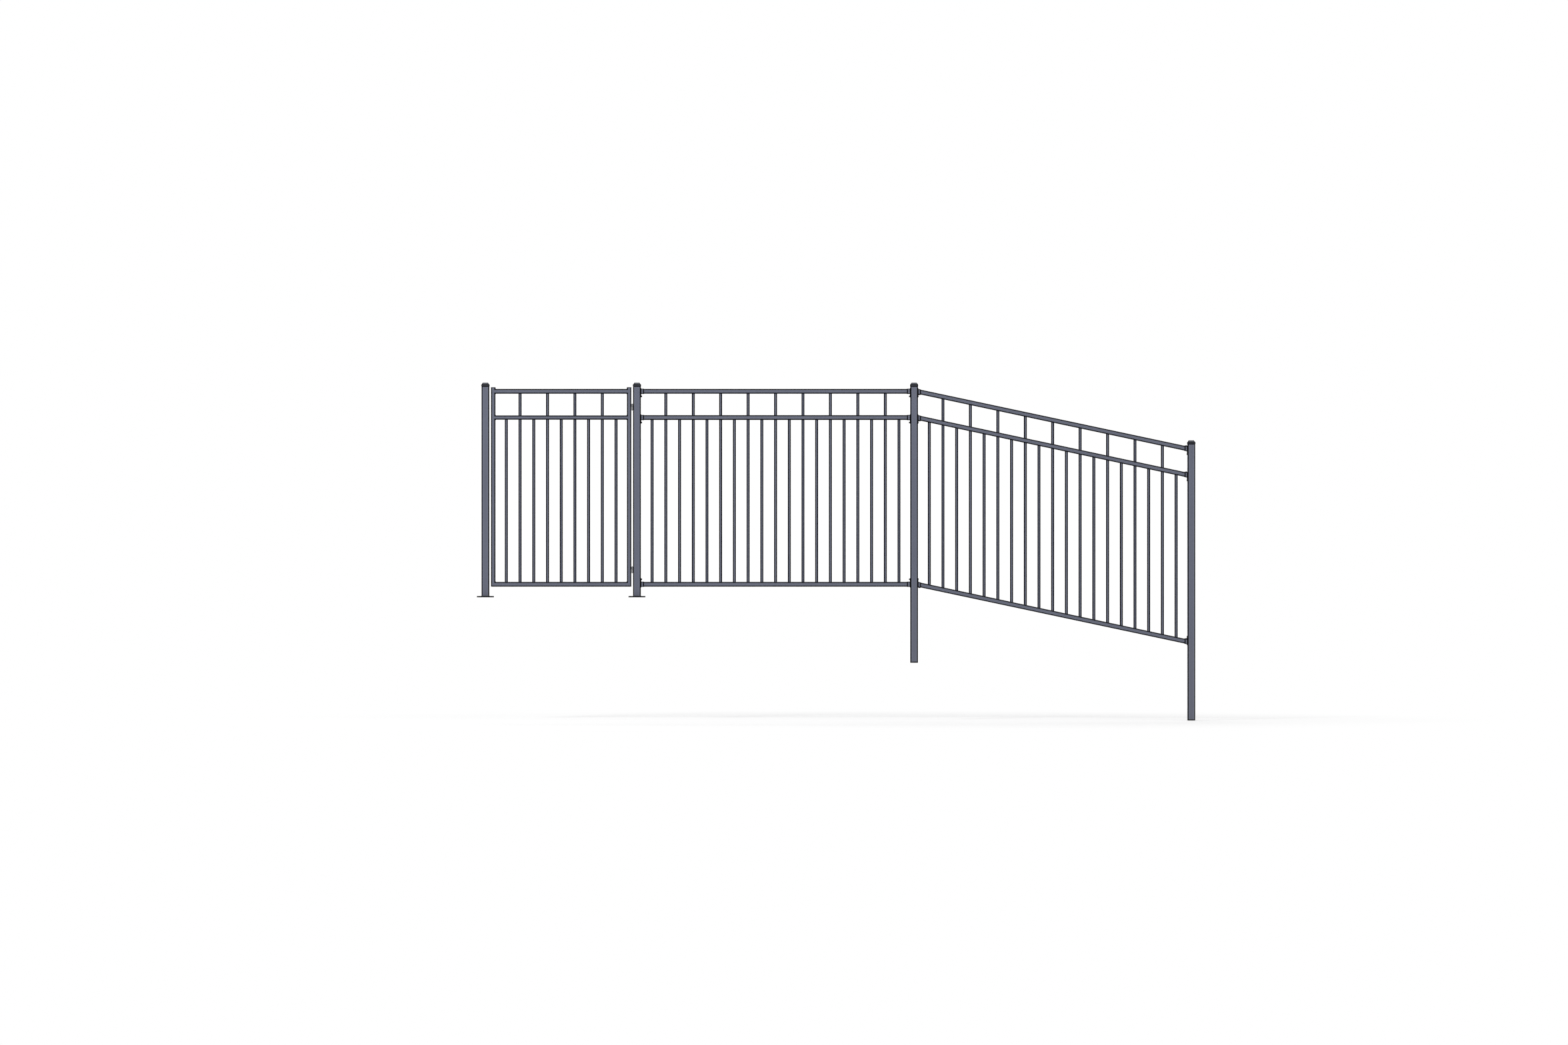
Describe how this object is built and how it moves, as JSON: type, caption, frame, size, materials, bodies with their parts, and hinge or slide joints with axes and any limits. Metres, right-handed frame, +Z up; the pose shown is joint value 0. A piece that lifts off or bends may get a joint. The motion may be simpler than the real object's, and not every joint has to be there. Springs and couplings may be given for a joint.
{
  "type": "fence panel run with gate",
  "caption": "Open run of square-tube picket fence: a gate leaf between plated posts, a level panel, and a panel raked down a slope between posts that go into the ground.",
  "frame": {"origin": "middle of the underside of the middle post's base plate, at ground level", "axes": "+X along the fence from the gate towards the raked panel, +Y to the back, +Z up"},
  "size_m": [4.7394, 0.11, 2.2287],
  "materials": {
    "tubes": "satin",
    "caps": "satin",
    "fittings": "satin",
    "end_plugs": "matte"
  },
  "bodies": {
    "fence": {"end_post": "tubes", "end_post_cap": "caps", "gate_post": "tubes", "gate_post_base_plate": "tubes", "gate_post_cap": "caps", "level_bottom_left_bracket": "fittings", "level_bottom_rail": "tubes", "level_bottom_right_bracket": "fittings", "level_middle_left_bracket": "fittings", "level_middle_rail": "tubes", "level_middle_right_bracket": "fittings", "level_pickets": "tubes", "level_top_left_bracket": "fittings", "level_top_rail": "tubes", "level_top_right_bracket": "fittings", "line_post": "tubes", "line_post_cap": "caps", "lower_hinge_post_half": "fittings", "middle_post": "tubes", "middle_post_base_plate": "tubes", "middle_post_cap": "caps", "raked_bottom_left_bracket": "fittings", "raked_bottom_rail": "tubes", "raked_bottom_right_bracket": "fittings", "raked_middle_left_bracket": "fittings", "raked_middle_rail": "tubes", "raked_middle_right_bracket": "fittings", "raked_pickets": "tubes", "raked_top_left_bracket": "fittings", "raked_top_rail": "tubes", "raked_top_right_bracket": "fittings", "upper_hinge_post_half": "fittings"},
    "gate": {"gate_bottom_rail": "tubes", "gate_hinge_stile": "tubes", "gate_latch_stile": "tubes", "gate_middle_rail": "tubes", "gate_pickets": "tubes", "gate_stile_plugs": "end_plugs", "gate_top_rail": "tubes", "lower_hinge_gate_half": "fittings", "upper_hinge_gate_half": "fittings"}
  },
  "joints": [
    {"name": "gate_swing", "type": "hinge", "parent": "fence", "child": "gate", "pos_m": [-0.0314, 0.01588, 0.7], "axis": [0, 0, -1], "range_deg": [0, 100]}
  ]
}
